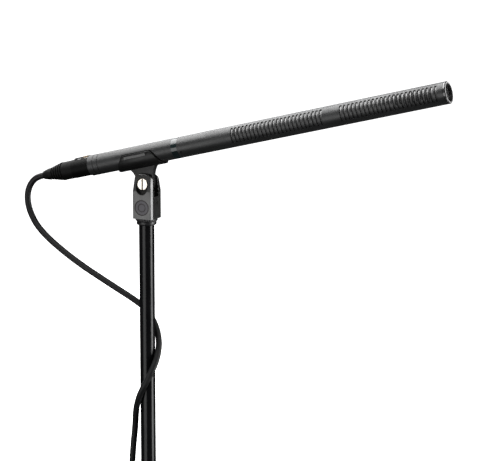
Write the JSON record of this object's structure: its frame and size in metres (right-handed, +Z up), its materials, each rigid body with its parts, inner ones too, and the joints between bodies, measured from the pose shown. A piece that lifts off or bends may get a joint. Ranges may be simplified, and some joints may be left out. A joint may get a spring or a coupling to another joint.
{
  "type": "boom pole",
  "caption": "Telescopic boom pole with a shotgun microphone held in a tilting clamp on its tip, the microphone's cable wound round the pole",
  "frame": {"origin": "on the pole's axis, in the middle of the bare stretch of base tube that a holder grips", "axes": "+Z up along the pole, +X the way the microphone points, -Y the side with the hinge screw's head"},
  "size_m": [0.4606, 0.0545, 0.8264],
  "materials": {
    "cap_black": "satin",
    "pad_rubber": "matte",
    "cup_black": "matte",
    "mic_black": "satin",
    "band": "polished",
    "liner": "woven",
    "capsule_metal": "brushed",
    "inner_plastic": "matte",
    "board": "gloss",
    "gold_pins": "polished",
    "grille": "satin",
    "connector_metal": "satin",
    "latch_metal": "satin",
    "latch_plate": "satin",
    "rib_grey": "satin",
    "rim_dark": "satin",
    "spring_steel": "bright",
    "boot_rubber": "matte",
    "cradle_plastic": "satin",
    "fork_plastic": "satin",
    "badge": "satin",
    "screw_steel": "bright",
    "washer_nylon": "matte",
    "insert_brass": "turned",
    "black_ring": "anodised",
    "pole_black": "anodised satin",
    "bush_plastic": "matte",
    "lock_plastic": "satin",
    "grip_foam": "matte foam",
    "foot_rubber": "matte",
    "cable_black": "matte",
    "webbing": "woven"
  },
  "bodies": {
    "base": {"base_tube": "pole_black", "lower_collet": "bush_plastic", "lower_sleeve": "lock_plastic", "grip": "grip_foam", "grip_rings": "lock_plastic", "end_plug": "lock_plastic", "foot": "foot_rubber"},
    "lower_collar": {"lower_collar": "lock_plastic"},
    "middle": {"middle_tube": "pole_black", "middle_bush": "bush_plastic", "upper_collet": "bush_plastic", "upper_sleeve": "lock_plastic", "cable_strap": "webbing", "cable_hank": "cable_black", "cable_tail": "cable_black", "hank_tie": "webbing", "plug_boot": "boot_rubber", "plug_shell": "connector_metal", "plug_insulator": "inner_plastic", "plug_pins": "gold_pins"},
    "upper_collar": {"upper_collar": "lock_plastic"},
    "upper": {"upper_tube": "pole_black", "upper_bush": "bush_plastic", "tip_stud": "black_ring", "tip_collar": "black_ring", "threaded_insert": "insert_brass", "clamp_fork": "fork_plastic", "hinge_nut": "spring_steel", "friction_washers": "washer_nylon", "front_badge": "badge", "badge_rim": "rim_dark", "recess_cup": "cup_black", "cable_wrap": "cable_black"},
    "lock_ring": {"lock_ring": "black_ring"},
    "hinge_screw": {"hinge_screw": "screw_steel"},
    "mic": {"cradle": "cradle_plastic", "cradle_pad": "pad_rubber", "rib_strip": "rib_grey", "rear_housing": "mic_black", "polished_band": "band", "slotted_tube": "mic_black", "set_screw": "mic_black", "acoustic_liner": "liner", "capsule": "capsule_metal", "capsule_mount": "inner_plastic", "circuit_board": "board", "board_frames": "inner_plastic", "socket_insulator": "inner_plastic", "socket_pins": "gold_pins", "front_cap": "cap_black", "front_grille": "grille", "connector_shell": "connector_metal", "connector_nose": "inner_plastic", "connector_boot": "boot_rubber", "latch_spring": "spring_steel", "cable_slack": "cable_black"},
    "latch": {"connector_latch": "latch_plate", "latch_tab": "latch_metal"}
  },
  "joints": [
    {"name": "mic_tilt", "type": "hinge", "parent": "upper", "child": "mic", "pos_m": [0, 0, 0.655], "axis": [0, -1, 0], "range_deg": [-33, 47], "deforming": ["cable_slack"]},
    {"name": "hinge_screw_turn", "type": "hinge", "parent": "upper", "child": "hinge_screw", "pos_m": [0, 0, 0.655], "axis": [0, -1, 0], "range_deg": [-180, 180]},
    {"name": "latch_press", "type": "slide", "parent": "mic", "child": "latch", "axis": [0.2317, 0, -0.9728], "range_m": [0, 0.0009], "stiffness_N_per_m": 600, "springref_m": -0.001, "deforming": ["latch_spring"]},
    {"name": "lock_ring_turn", "type": "hinge", "parent": "upper", "child": "lock_ring", "pos_m": [0, 0, 0.619], "axis": [0, 0, 1], "range_deg": [-180, 180]},
    {"name": "upper_slide", "type": "slide", "parent": "middle", "child": "upper", "axis": [0, 0, 1], "range_m": [-0.12, 0], "deforming": ["cable_wrap"]},
    {"name": "upper_collar_turn", "type": "hinge", "parent": "middle", "child": "upper_collar", "pos_m": [0, 0, 0.33], "axis": [0, 0, 1], "range_deg": [0, 120]},
    {"name": "mid_slide", "type": "slide", "parent": "base", "child": "middle", "axis": [0, 0, 1], "range_m": [0, 0.18]},
    {"name": "lower_collar_turn", "type": "hinge", "parent": "base", "child": "lower_collar", "pos_m": [0, 0, 0.26], "axis": [0, 0, 1], "range_deg": [0, 120]}
  ]
}
